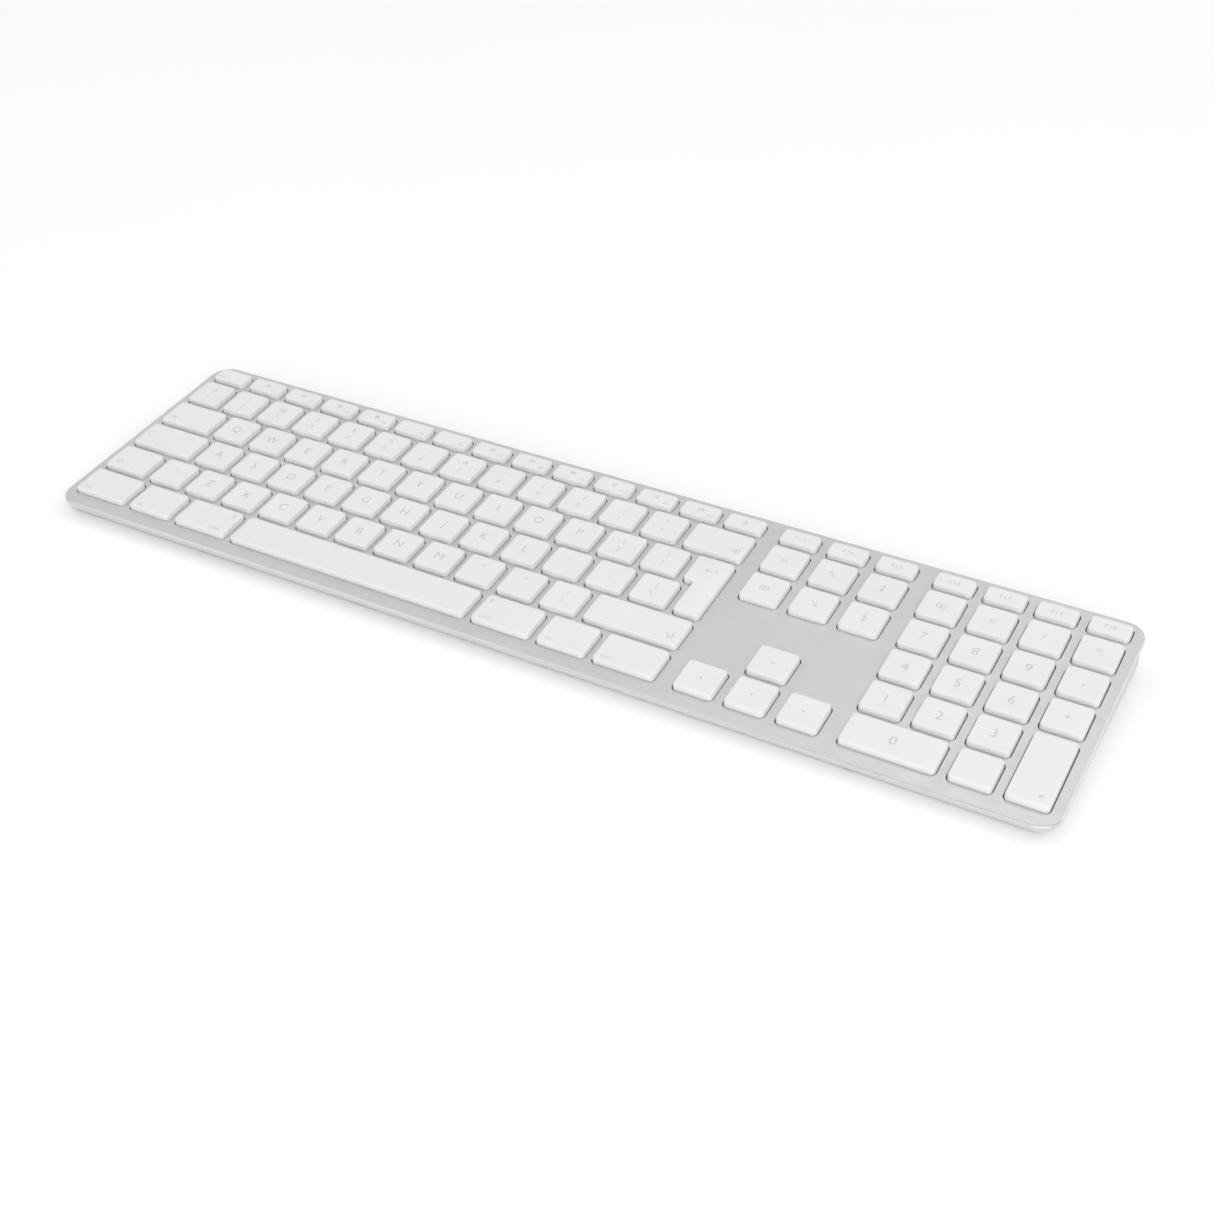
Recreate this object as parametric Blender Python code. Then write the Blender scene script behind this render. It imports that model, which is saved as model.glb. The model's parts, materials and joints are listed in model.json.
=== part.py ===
"""Full-size desktop keyboard: aluminium deck, white lower cover, flat keycaps and a numeric keypad.

Lengths below are millimetres and become metres where the meshes are made.  The case is laid out in the
frame of its sloping deck: x to the right from the left side of the first key, y backwards from the front
of the nearest key row, z up from the deck surface.  One empty tilts that frame onto the desk.
"""
import math

import bmesh
import bpy

for old in list(bpy.data.objects):
    bpy.data.objects.remove(old, do_unlink=True)

MM = 0.001

# Deck and case
SLOPE = math.radians(5.33)     # rise of the deck towards the back
FRONT_HEIGHT = 6.0             # deck surface above the desk at the front edge
CASE_X0, CASE_X1 = -4.4, 424.1
CASE_Y0, CASE_Y1 = -8.1, 104.5
CASE_RADIUS = 8.6
CORNER_SEGMENTS = 5
DECK_THICKNESS = 1.0
RIM_BEVEL = 0.45               # chamfered rim of the deck
SKIRT_DEPTH = 1.5
SKIRT_WALL = 0.9
COVER_INSET = 0.8
COVER_WALL = 1.6
BELLY_INSET, BELLY_RISE = 4.5, 3.3   # the cover's sides curve in under the case over this width and height
BELLY_SEGMENTS = 4
FOOT_HEIGHT = 0.6              # air between the lower cover and the desk
COVER_FLOOR = 1.4
RIM_FLOOR = -3.6               # shallow floor of the cover along its edge
TRAY_FLOOR = -5.05             # floor under the key layers

# Keys
UNIT = 19.05                   # key pitch across the main block
ROW = 18.52                    # pitch from one row to the next
ROW_START = -0.8               # front of the nearest row
CAP = 15.75                    # width of a single cap
CAP_GAP = UNIT - CAP           # deck left between caps side by side
ROW_GAP = 2.9                  # deck left between caps of neighbouring rows
NAV_X, NAV_PITCH = 280.6, 20.1
PAD_X, PAD_PITCH = 344.05, 19.8
FN_PITCH = 14.5 * UNIT / 14.0
FN_Y0, FN_Y1 = 92.0, 100.4
CAP_TOP, CAP_SKIRT, PLUNGER = 2.2, -1.3, -1.7
CAP_CORNER = 1.3
HOLE_MARGIN = 0.45
WEB_TOP = -1.22

# Layers under the keys: bottom and top of each
DOME_SHEET = (-3.75, -3.4)
DOME_TOP = -1.95
MEMBRANE = (-4.15, -3.95)
PLATE = (-4.85, -4.35)
LAYER_Y0, LAYER_Y1 = -1.3, 101.4
LAYER_X0, LAYER_X1 = -0.6, 419.9
LAYER_CORNER = 4.0
LAYER_ROOM = 0.6               # free space around the layers

# Screws: deck position, and whether it stands in the deep rear part
SCREWS = (("front_left", 70.0, -3.4, False), ("front_right", 350.0, -3.4, False),
          ("rear_left", 276.8, 97.0, True), ("rear_right", 340.2, 97.0, True))
BOSS_RADIUS, POST_RADIUS = 2.0, 3.0
SHANK_RADIUS, SHANK_HOLE = 0.8, 1.1
HEAD_RADIUS, HEAD_HOLE = 1.5, 1.85
FRONT_SEAT, REAR_SEAT = -4.4, -10.2

COS, SIN = math.cos(SLOPE), math.sin(SLOPE)
ORIGIN_Z = FRONT_HEIGHT - CASE_Y0 * SIN
ORIGIN_X = -0.5 * (CASE_X0 + CASE_X1)


def deck_z(y, height):
    """Deck-frame z of the point at this height above the desk, for a deck-frame y."""
    return (height - ORIGIN_Z - y * SIN) / COS


# The case is centred between its front rim and the foot of its rear wall
WALL_IN, WALL_OUT = CASE_Y1 - COVER_INSET - COVER_WALL, CASE_Y1 - COVER_INSET
FRONT_Y = CASE_Y0 * COS + RIM_BEVEL * SIN
REAR_Y = WALL_OUT * COS - deck_z(WALL_OUT, FOOT_HEIGHT + BELLY_RISE) * SIN
ORIGIN_Y = -0.5 * (FRONT_Y + REAR_Y)


# ---------------------------------------------------------------- helpers

def material(name, rgb, roughness, metallic=0.0):
    mat = bpy.data.materials.new(name)
    mat.use_nodes = True
    shader = mat.node_tree.nodes["Principled BSDF"]
    shader.inputs["Base Color"].default_value = (*rgb, 1.0)
    shader.inputs["Roughness"].default_value = roughness
    shader.inputs["Metallic"].default_value = metallic
    return mat


def rectangle(x0, y0, x1, y1, corner=0.0, segments=1):
    """Counter-clockwise outline; corners are cut at 45 degrees or rounded with several segments."""
    if corner <= 0.0:
        return [(x0, y0), (x1, y0), (x1, y1), (x0, y1)]
    points = []
    for cx, cy, start in ((x1 - corner, y0 + corner, -90), (x1 - corner, y1 - corner, 0),
                          (x0 + corner, y1 - corner, 90), (x0 + corner, y0 + corner, 180)):
        for k in range(segments + 1):
            angle = math.radians(start + 90.0 * k / segments)
            points.append((cx + corner * math.cos(angle), cy + corner * math.sin(angle)))
    return points


def circle(radius, segments, cx=0.0, cy=0.0):
    step = 2.0 * math.pi / segments
    return [(cx + radius * math.cos(k * step), cy + radius * math.sin(k * step)) for k in range(segments)]


def inset(outline, distance):
    """Move every side of a counter-clockwise outline inwards by the same distance."""
    count = len(outline)
    lines = []
    for k in range(count):
        (ax, ay), (bx, by) = outline[k], outline[(k + 1) % count]
        length = math.hypot(bx - ax, by - ay)
        ux, uy = (bx - ax) / length, (by - ay) / length
        lines.append((ax - uy * distance, ay + ux * distance, ux, uy))
    result = []
    for k in range(count):
        px, py, ux, uy = lines[k - 1]
        qx, qy, vx, vy = lines[k]
        t = ((qx - px) * vy - (qy - py) * vx) / (ux * vy - uy * vx)
        result.append((px + ux * t, py + uy * t))
    return result


def loft(bm, rings):
    """Closed solid through rings of equal point counts; each ring is (outline, z or a function of y)."""
    loops = []
    for outline, level in rings:
        if callable(level):
            loops.append([bm.verts.new((x * MM, y * MM, level(y) * MM)) for x, y in outline])
        else:
            loops.append([bm.verts.new((x * MM, y * MM, level * MM)) for x, y in outline])
    faces = [bm.faces.new(loops[0]), bm.faces.new(loops[-1])]
    count = len(loops[0])
    for lower, upper in zip(loops, loops[1:]):
        for k in range(count):
            n = (k + 1) % count
            faces.append(bm.faces.new((lower[k], lower[n], upper[n], upper[k])))
    bmesh.ops.recalc_face_normals(bm, faces=faces)


def add_object(name, bm, mat=None, parent=None, location=(0.0, 0.0, 0.0), rotation=(0.0, 0.0, 0.0)):
    mesh = bpy.data.meshes.new(name)
    bm.to_mesh(mesh)
    bm.free()
    obj = bpy.data.objects.new(name, mesh)
    bpy.context.scene.collection.objects.link(obj)
    obj.parent = parent
    obj.location = [value * MM for value in location]
    obj.rotation_euler = rotation
    if mat is None:
        obj.hide_render = True
        obj.display_type = 'WIRE'
    else:
        mesh.materials.append(mat)
    return obj


def solid(name, solids, mat=None, parent=None, location=(0.0, 0.0, 0.0), rotation=(0.0, 0.0, 0.0)):
    """One object from a list of lofted solids; without a material it is a cutter."""
    bm = bmesh.new()
    for rings in solids:
        loft(bm, rings)
    return add_object(name, bm, mat, parent, location, rotation)


def combine(target, other, operation):
    modifier = target.modifiers.new(operation.title() + " " + other.name, 'BOOLEAN')
    modifier.operation = operation
    modifier.solver = 'EXACT'
    modifier.object = other


def smooth(obj, degrees=30.0):
    obj.data.shade_smooth()
    obj.data.set_sharp_from_angle(angle=math.radians(degrees))


# ---------------------------------------------------------------- key layout

class Key:
    """Footprint of one keycap at deck level."""

    def __init__(self, name, x0, y0, x1, y1):
        self.name = name
        self.x0, self.y0, self.x1, self.y1 = x0, y0, x1, y1
        self.cx, self.cy = 0.5 * (x0 + x1), 0.5 * (y0 + y1)

    def outline(self, cx=0.0, cy=0.0):
        return rectangle(self.x0 - cx, self.y0 - cy, self.x1 - cx, self.y1 - cy, CAP_CORNER)

    def opening(self):
        m = HOLE_MARGIN
        return rectangle(self.x0 - m, self.y0 - m, self.x1 + m, self.y1 + m)


class ReturnKey(Key):
    """Keycap over two rows, wider in the upper one."""

    def __init__(self, name, x0, step_x, y0, step_y, x1, y1):
        super().__init__(name, x0, y0, x1, y1)
        self.step_x, self.step_y = step_x, step_y
        self.cx = 0.5 * (step_x + x1)

    def outline(self, cx=0.0, cy=0.0):
        c = CAP_CORNER
        x0, x1, y0, y1 = self.x0 - cx, self.x1 - cx, self.y0 - cy, self.y1 - cy
        sx, sy = self.step_x - cx, self.step_y - cy
        return [(sx + c, y0), (x1 - c, y0), (x1, y0 + c), (x1, y1 - c), (x1 - c, y1), (x0 + c, y1),
                (x0, y1 - c), (x0, sy + c), (x0 + c, sy), (sx - 0.5, sy), (sx, sy - 0.5), (sx, y0 + c)]

    def opening(self):
        m = HOLE_MARGIN
        return [(self.step_x - m, self.y0 - m), (self.x1 + m, self.y0 - m), (self.x1 + m, self.y1 + m),
                (self.x0 - m, self.y1 + m), (self.x0 - m, self.step_y - m), (self.step_x - m, self.step_y - m)]


def row_front(row):
    return ROW_START + row * ROW


def row_rear(row):
    return ROW_START + (row + 1) * ROW - ROW_GAP


def block_row(row, start, widths, prefix):
    """Keys of the main block in one row; widths are in key units."""
    keys = []
    for index, width in enumerate(widths):
        x0 = start * UNIT
        keys.append(Key(prefix + str(index), x0, row_front(row), x0 + width * UNIT - CAP_GAP, row_rear(row)))
        start += width
    return keys


def nav_key(name, column, row, front=None, back=None):
    x0 = NAV_X + column * NAV_PITCH
    y0 = row_front(row) if front is None else front
    y1 = row_rear(row) if back is None else back
    return Key(name, x0, y0, x0 + CAP, y1)


def pad_key(name, column, row, columns=1, rows=1, front=None, back=None):
    x0 = PAD_X + column * PAD_PITCH
    y0 = row_front(row) if front is None else front
    y1 = row_rear(row + rows - 1) if back is None else back
    return Key(name, x0, y0, x0 + (columns - 1) * PAD_PITCH + CAP, y1)


# Rows whose caps are tied together under the deck and move as one piece
GROUPS = {
    "keys_number_row": block_row(4, 0.0, [1.0] * 13 + [1.5], "n"),
    "keys_top_letter_row": block_row(3, 0.0, [1.5] + [1.0] * 12, "t"),
    "keys_home_row": block_row(2, 0.0, [1.75] + [1.0] * 12, "h"),
    "keys_bottom_letter_row": block_row(1, 0.0, [1.25] + [1.0] * 11 + [2.25], "b"),
    "keys_modifiers_left": block_row(0, 0.0, [1.5, 1.25, 1.5], "l"),
    "keys_modifiers_right": block_row(0, 10.25, [1.5, 1.25, 1.5], "r"),
    "keys_function_main": [Key("f" + str(k), k * FN_PITCH, FN_Y0, (k + 1) * FN_PITCH - CAP_GAP, FN_Y1)
                           for k in range(14)],
    "keys_function_nav": [nav_key("g" + str(k), k, 5, FN_Y0, FN_Y1) for k in range(3)],
    "keys_function_pad": [pad_key("p" + str(k), k, 5, front=FN_Y0, back=FN_Y1) for k in range(4)],
}

RIGHT_EDGE = 14.5 * UNIT - CAP_GAP
SINGLES = [
    Key("key_space", 4.25 * UNIT, row_front(0), 10.25 * UNIT - CAP_GAP, row_rear(0)),
    ReturnKey("key_return", 13.5 * UNIT, 13.75 * UNIT, row_front(2), row_front(3), RIGHT_EDGE, row_rear(3)),
    nav_key("key_fn", 0, 4), nav_key("key_home", 1, 4), nav_key("key_page_up", 2, 4),
    nav_key("key_forward_delete", 0, 3), nav_key("key_end", 1, 3), nav_key("key_page_down", 2, 3),
    nav_key("key_arrow_up", 1, 1), nav_key("key_arrow_left", 0, 0), nav_key("key_arrow_down", 1, 0),
    nav_key("key_arrow_right", 2, 0),
    pad_key("key_pad_clear", 0, 4), pad_key("key_pad_equals", 1, 4), pad_key("key_pad_divide", 2, 4),
    pad_key("key_pad_multiply", 3, 4),
    pad_key("key_pad_7", 0, 3), pad_key("key_pad_8", 1, 3), pad_key("key_pad_9", 2, 3),
    pad_key("key_pad_minus", 3, 3),
    pad_key("key_pad_4", 0, 2), pad_key("key_pad_5", 1, 2), pad_key("key_pad_6", 2, 2),
    pad_key("key_pad_plus", 3, 2),
    pad_key("key_pad_1", 0, 1), pad_key("key_pad_2", 1, 1), pad_key("key_pad_3", 2, 1),
    pad_key("key_pad_enter", 3, 0, rows=2),
    pad_key("key_pad_0", 0, 0, columns=2), pad_key("key_pad_decimal", 2, 0),
]
ALL_KEYS = SINGLES + [key for group in GROUPS.values() for key in group]

# ---------------------------------------------------------------- materials

ALUMINIUM = material("anodised aluminium", (0.60, 0.60, 0.61), 0.42, 0.9)
CAP_WHITE = material("white keycap plastic", (0.84, 0.84, 0.85), 0.45)
COVER_WHITE = material("white cover plastic", (0.80, 0.80, 0.80), 0.4)
STEEL = material("zinc plated steel", (0.45, 0.46, 0.48), 0.4, 1.0)
POLYESTER = material("clear grey polyester film", (0.55, 0.57, 0.58), 0.35)
SILICONE = material("grey silicone", (0.09, 0.09, 0.095), 0.6)
BOARD = material("green circuit board", (0.03, 0.16, 0.08), 0.5)
FOIL = material("silver battery foil", (0.50, 0.51, 0.52), 0.3, 0.8)
RUBBER = material("grey rubber", (0.32, 0.32, 0.33), 0.8)
BLACK = material("black plastic", (0.03, 0.03, 0.03), 0.5)
CLEAR = material("frosted light window", (0.80, 0.86, 0.80), 0.3)

# ---------------------------------------------------------------- frames

desk = bpy.data.objects.new("desk_frame", None)
bpy.context.scene.collection.objects.link(desk)

deck = bpy.data.objects.new("deck_frame", None)
bpy.context.scene.collection.objects.link(deck)
deck.parent = desk
deck.location = (ORIGIN_X * MM, ORIGIN_Y * MM, ORIGIN_Z * MM)
deck.rotation_euler = (SLOPE, 0.0, 0.0)

# ---------------------------------------------------------------- top case

case_outline = rectangle(CASE_X0, CASE_Y0, CASE_X1, CASE_Y1, CASE_RADIUS, CORNER_SEGMENTS)
top_case = solid("top_case", [[(inset(case_outline, RIM_BEVEL), 0.0), (inset(case_outline, 0.13), -0.13),
                               (case_outline, -RIM_BEVEL), (case_outline, -SKIRT_DEPTH),
                               (inset(case_outline, SKIRT_WALL), -SKIRT_DEPTH),
                               (inset(case_outline, SKIRT_WALL), -DECK_THICKNESS)]], ALUMINIUM, deck)

holes = [[(key.opening(), -1.6), (key.opening(), 1.0)] for key in ALL_KEYS]
combine(top_case, solid("key_openings", holes, parent=deck), 'DIFFERENCE')

bosses = []
boss_holes = []
for _, x, y, rear in SCREWS:
    bottom = -4.7 if rear else -3.3
    bosses.append([(circle(BOSS_RADIUS, 10, x, y), bottom), (circle(BOSS_RADIUS, 10, x, y), -0.7)])
    boss_holes.append([(circle(SHANK_HOLE, 8, x, y), bottom - 0.4), (circle(SHANK_HOLE, 8, x, y), -1.2)])
combine(top_case, solid("screw_bosses", bosses, parent=deck), 'UNION')
combine(top_case, solid("screw_boss_holes", boss_holes, parent=deck), 'DIFFERENCE')

# ---------------------------------------------------------------- lower cover

cover_outline = inset(case_outline, COVER_INSET)
belly = []
for step in range(BELLY_SEGMENTS + 1):
    angle = 0.5 * math.pi * (1.0 - step / BELLY_SEGMENTS)
    rise = FOOT_HEIGHT + BELLY_RISE * (1.0 - math.sin(angle))
    belly.append((inset(cover_outline, BELLY_INSET * (1.0 - math.cos(angle))), lambda y, rise=rise: deck_z(y, rise)))
lower_cover = solid("lower_cover", [belly + [(cover_outline, -SKIRT_DEPTH - 0.2)]], COVER_WHITE, deck)

rim_cavity = rectangle(CASE_X0 + COVER_INSET + COVER_WALL, CASE_Y0 + COVER_INSET + COVER_WALL,
                       CASE_X1 - COVER_INSET - COVER_WALL, WALL_IN, CASE_RADIUS - COVER_INSET - COVER_WALL, 3)
layer_cavity = rectangle(LAYER_X0 - LAYER_ROOM, LAYER_Y0 - LAYER_ROOM, LAYER_X1 + LAYER_ROOM,
                         LAYER_Y1 + LAYER_ROOM, LAYER_CORNER)
combine(lower_cover, solid("rim_cavity", [[(rim_cavity, RIM_FLOOR), (rim_cavity, 0.0)]], parent=deck), 'DIFFERENCE')
combine(lower_cover, solid("layer_cavity", [[(layer_cavity, TRAY_FLOOR), (layer_cavity, RIM_FLOOR + 0.5)]],
                           parent=deck), 'DIFFERENCE')

BAY_Y0, BAY_Y1 = 20.0, LAYER_Y1 + LAYER_ROOM - 0.01
BAYS = ((2.0, 112.0), (114.0, 306.0), (308.0, 417.0))
bays = [[(rectangle(x0, BAY_Y0, x1, BAY_Y1, 2.0), lambda y: deck_z(y, FOOT_HEIGHT + COVER_FLOOR)),
         (rectangle(x0, BAY_Y0, x1, BAY_Y1, 2.0), TRAY_FLOOR + 0.6)] for x0, x1 in BAYS]
combine(lower_cover, solid("rear_bays", bays, parent=deck), 'DIFFERENCE')

# Board rests and screw posts rise from the floor of the cover
BOARD_X0, BOARD_X1 = 196.0, 262.0
BOARD_Y0, BOARD_Y1 = 72.0, 101.2
BOARD_HEIGHT = 4.3
posts = []
for _, x, y, rear in SCREWS:
    if rear:
        posts.append([(circle(POST_RADIUS, 12, x, y), lambda y: deck_z(y, FOOT_HEIGHT + 0.6)),
                      (circle(POST_RADIUS, 12, x, y), -5.1)])
for x in (BOARD_X0 + 4.0, BOARD_X1 - 6.0):
    for y in (BOARD_Y0 + 3.0, BOARD_Y1 - 8.0):
        posts.append([(rectangle(x, y, x + 2.0, y + 4.0), lambda y: deck_z(y, FOOT_HEIGHT + 0.6)),
                      (rectangle(x, y, x + 2.0, y + 4.0), lambda y: deck_z(y, BOARD_HEIGHT - 0.3))])
combine(lower_cover, solid("posts_and_rests", posts, parent=deck), 'UNION')

screw_holes = []
for _, x, y, rear in SCREWS:
    seat = REAR_SEAT if rear else FRONT_SEAT
    screw_holes.append([(circle(HEAD_HOLE, 10, x, y), -20.0), (circle(HEAD_HOLE, 10, x, y), seat),
                        (circle(SHANK_HOLE, 10, x, y), seat), (circle(SHANK_HOLE, 10, x, y), -2.0)])
combine(lower_cover, solid("screw_clearance", screw_holes, parent=deck), 'DIFFERENCE')

# Rear wall: charging socket, power slider and light window
SOCKET_X, SLIDER_X, LIGHT_X = 212.0, 178.0, 191.5
SOCKET_HEIGHT = BOARD_HEIGHT + 1.2 + 0.3 + 1.65
SLIDER_Z = -9.2
LIGHT_RADIUS = 1.0
SLIDER_TRAVEL = 4.0
FACE_BACK = (-math.pi / 2.0, 0.0, 0.0)   # turns local +z to point out of the rear wall

socket_world_y = ORIGIN_Y + WALL_OUT * COS - deck_z(WALL_OUT, SOCKET_HEIGHT) * SIN
socket_at = (SOCKET_X + ORIGIN_X, socket_world_y, SOCKET_HEIGHT)
socket_hole = rectangle(-4.85, -2.0, 4.85, 2.0, 1.9, 4)
combine(lower_cover, solid("socket_hole", [[(socket_hole, -4.0), (socket_hole, 3.0)]], parent=desk,
                           location=socket_at, rotation=FACE_BACK), 'DIFFERENCE')
slot = rectangle(-1.9, -1.3, 1.9 + SLIDER_TRAVEL, 1.3, 0.5)
combine(lower_cover, solid("slider_slot", [[(slot, -3.0), (slot, 2.0)]], parent=deck,
                           location=(SLIDER_X, WALL_OUT, SLIDER_Z), rotation=FACE_BACK), 'DIFFERENCE')
window = circle(LIGHT_RADIUS + 0.3, 12)
combine(lower_cover, solid("light_hole", [[(window, -3.0), (window, 2.0)]], parent=deck,
                           location=(LIGHT_X, WALL_OUT, SLIDER_Z), rotation=FACE_BACK), 'DIFFERENCE')

# ---------------------------------------------------------------- feet

FOOT_RADIUS = 5.0
FEET = (("front_left", 14.0, 9.0), ("front_right", 405.5, 9.0), ("rear_left", 14.0, 94.0),
        ("rear_right", 405.5, 94.0))
recesses = []
for label, x, y in FEET:
    wx, wy = x + ORIGIN_X, y * COS + ORIGIN_Y
    recesses.append([(circle(FOOT_RADIUS + 0.3, 16, wx, wy), FOOT_HEIGHT - 1.0),
                     (circle(FOOT_RADIUS + 0.3, 16, wx, wy), FOOT_HEIGHT + 0.5)])
    foot = solid("foot_" + label, [[(circle(FOOT_RADIUS - 0.3, 16), 0.0), (circle(FOOT_RADIUS, 16), 0.3),
                                    (circle(FOOT_RADIUS, 16), FOOT_HEIGHT + 0.2)]], RUBBER, desk, (wx, wy, 0.0))
    smooth(foot)
combine(lower_cover, solid("foot_recesses", recesses, parent=desk), 'DIFFERENCE')

# ---------------------------------------------------------------- screws

for label, x, y, rear in SCREWS:
    seat = REAR_SEAT if rear else FRONT_SEAT
    tip = -1.9 if rear else -1.6
    rings = [(circle(0.75, 8), -0.35), (circle(0.75, 8), -1.0), (circle(HEAD_RADIUS - 0.25, 8), -1.0),
             (circle(HEAD_RADIUS, 8), -0.7), (circle(HEAD_RADIUS, 8), 0.0), (circle(SHANK_RADIUS, 8), 0.0),
             (circle(SHANK_RADIUS, 8), tip - seat - 0.3), (circle(0.45, 8), tip - seat)]
    screw = solid("screw_" + label, [rings], STEEL, deck, (x, y, seat - 0.15))
    smooth(screw)

# ---------------------------------------------------------------- layers under the keys

layer = rectangle(LAYER_X0, LAYER_Y0, LAYER_X1, LAYER_Y1, LAYER_CORNER)
plate = solid("key_support_plate", [[(layer, PLATE[0]), (layer, PLATE[1])]], STEEL, deck)
membrane = solid("membrane_sheet", [[(layer, MEMBRANE[0]), (layer, MEMBRANE[1])]], POLYESTER, deck)
domes = solid("dome_sheet", [[(layer, DOME_SHEET[0]), (layer, DOME_SHEET[1])]], SILICONE, deck)

dome_solids = [[(circle(3.2, 4, key.cx, key.cy), DOME_SHEET[0] + 0.1), (circle(1.7, 4, key.cx, key.cy), DOME_TOP)]
               for key in ALL_KEYS]
combine(domes, solid("dome_shapes", dome_solids, parent=deck), 'UNION')

passages = [[(circle(BOSS_RADIUS + 0.4, 10, x, y), -6.0), (circle(BOSS_RADIUS + 0.4, 10, x, y), -2.5)]
            for _, x, y, rear in SCREWS if rear]
passage_cutter = solid("boss_passages", passages, parent=deck)
for sheet in (plate, membrane, domes):
    combine(sheet, passage_cutter, 'DIFFERENCE')

TAIL_X0, TAIL_X1, TAIL_Y = 240.0, 252.0, 84.0
tail_slot = rectangle(TAIL_X0 - 1.0, TAIL_Y - 1.2, TAIL_X1 + 1.0, TAIL_Y + 1.4)
combine(plate, solid("tail_slot", [[(tail_slot, -6.0), (tail_slot, -4.25)]], parent=deck), 'DIFFERENCE')

# ---------------------------------------------------------------- electronics in the rear bay

board_y = ORIGIN_Y + BOARD_Y1 * COS - deck_z(BOARD_Y1, BOARD_HEIGHT) * SIN
board_depth = (BOARD_Y1 - BOARD_Y0) * COS
board_outline = rectangle(BOARD_X0 + ORIGIN_X, board_y - board_depth, BOARD_X1 + ORIGIN_X, board_y, 1.0)
solid("main_circuit_board", [[(board_outline, 0.0), (board_outline, 1.2)]], BOARD, desk, (0.0, 0.0, BOARD_HEIGHT))

battery = rectangle(-34.0, -14.5, 34.0, 14.5, 1.5)
solid("battery_cell", [[(inset(battery, 0.6), 0.0), (battery, 0.7), (battery, 4.8), (inset(battery, 0.6), 5.5)]],
      FOIL, desk, (154.0 + ORIGIN_X, 82.0 + ORIGIN_Y, FOOT_HEIGHT + COVER_FLOOR + 0.3))

# Charging socket: a stadium-shaped shell with a tongue inside, mouth in line with the rear wall
shell_out = rectangle(-4.5, -1.65, 4.5, 1.65, 1.55, 3)
shell_in = rectangle(-4.15, -1.3, 4.15, 1.3, 1.2, 3)
tongue = rectangle(-3.3, -0.35, 3.3, 0.35, 0.25, 3)
socket = solid("usb_socket", [[(shell_out, -7.5), (shell_out, -0.3), (shell_in, -0.3), (shell_in, -6.8),
                               (tongue, -6.8), (tongue, -1.6)]], STEEL, desk, socket_at, FACE_BACK)
smooth(socket)

tail_z = deck_z(TAIL_Y + 6.0, BOARD_HEIGHT + 1.2) + 0.9
tail_profile = [(TAIL_Y, -4.45), (TAIL_Y, tail_z), (TAIL_Y + 6.0, tail_z), (TAIL_Y + 6.0, tail_z + 0.25),
                (TAIL_Y + 0.25, tail_z + 0.25), (TAIL_Y + 0.25, -4.45)]
bm = bmesh.new()
ends = [[bm.verts.new((x * MM, y * MM, z * MM)) for y, z in tail_profile] for x in (TAIL_X0, TAIL_X1)]
caps = [bm.faces.new(ends[0]), bm.faces.new(ends[1])]
for k in range(len(tail_profile)):
    n = (k + 1) % len(tail_profile)
    caps.append(bm.faces.new((ends[0][k], ends[0][n], ends[1][n], ends[1][k])))
bmesh.ops.recalc_face_normals(bm, faces=caps)
add_object("membrane_tail", bm, POLYESTER, deck)

# Power slider: a knob in the wall slot on a wider flange that slides behind the wall
flange = rectangle(-2.8, -2.2, 2.8, 2.2, 0.4)
knob = rectangle(-1.6, -1.0, 1.6, 1.0, 0.4)
solid("power_slider", [[(flange, -2.7), (flange, -1.9), (knob, -1.9), (knob, -0.35), (inset(knob, 0.2), -0.15)]],
      BLACK, deck, (SLIDER_X, WALL_OUT, SLIDER_Z), FACE_BACK)
switch = rectangle(-4.5, -2.2, 8.5, 2.2, 0.4)
solid("slide_switch_body", [[(switch, -6.2), (switch, -3.0)]], STEEL, deck, (SLIDER_X, WALL_OUT, SLIDER_Z), FACE_BACK)
pipe = solid("status_light_pipe", [[(circle(LIGHT_RADIUS, 12), -5.5), (circle(LIGHT_RADIUS, 12), -0.4),
                                    (circle(LIGHT_RADIUS - 0.2, 12), -0.2)]], CLEAR, deck,
             (LIGHT_X, WALL_OUT, SLIDER_Z), FACE_BACK)
smooth(pipe)

# ---------------------------------------------------------------- keycaps


def cap_rings(outline, bottom):
    """Tapered cap with a chamfered rim, from its underside to its top."""
    return [(outline, bottom), (inset(outline, 0.25), CAP_TOP - 0.35), (inset(outline, 0.55), CAP_TOP)]


for key in SINGLES:
    outline = key.outline(key.cx, key.cy)
    if isinstance(key, ReturnKey):
        rings = cap_rings(outline, PLUNGER)
    else:
        stem = rectangle(-2.5, -2.5, 2.5, 2.5, 0.6)
        rings = [(stem, PLUNGER), (stem, CAP_SKIRT)] + cap_rings(outline, CAP_SKIRT)
    solid(key.name, [rings], CAP_WHITE, deck, (key.cx, key.cy, 0.0))

for name, keys in GROUPS.items():
    cx, cy = 0.5 * (keys[0].x0 + keys[-1].x1), keys[0].cy
    half = 2.0 if keys[0].y0 == FN_Y0 else 3.0
    web = rectangle(keys[0].x0 - cx + 1.0, -half, keys[-1].x1 - cx - 1.0, half)
    row = solid(name, [[(web, PLUNGER), (web, WEB_TOP)]], CAP_WHITE, deck, (cx, cy, 0.0))
    cap_solids = [cap_rings(key.outline(cx, cy), CAP_SKIRT) for key in keys]
    combine(row, solid(name + "_caps", cap_solids, parent=deck, location=(cx, cy, 0.0)), 'UNION')
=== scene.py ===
"""Studio view of a slim full-size desktop keyboard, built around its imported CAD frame.

Lengths in the tables are millimetres.  Pieces are made in the frame of the sloping deck (x right, y back,
z out of the deck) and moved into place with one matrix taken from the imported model.
"""
import json
import math

import bmesh
import bpy
from mathutils import Matrix, Vector


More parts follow.
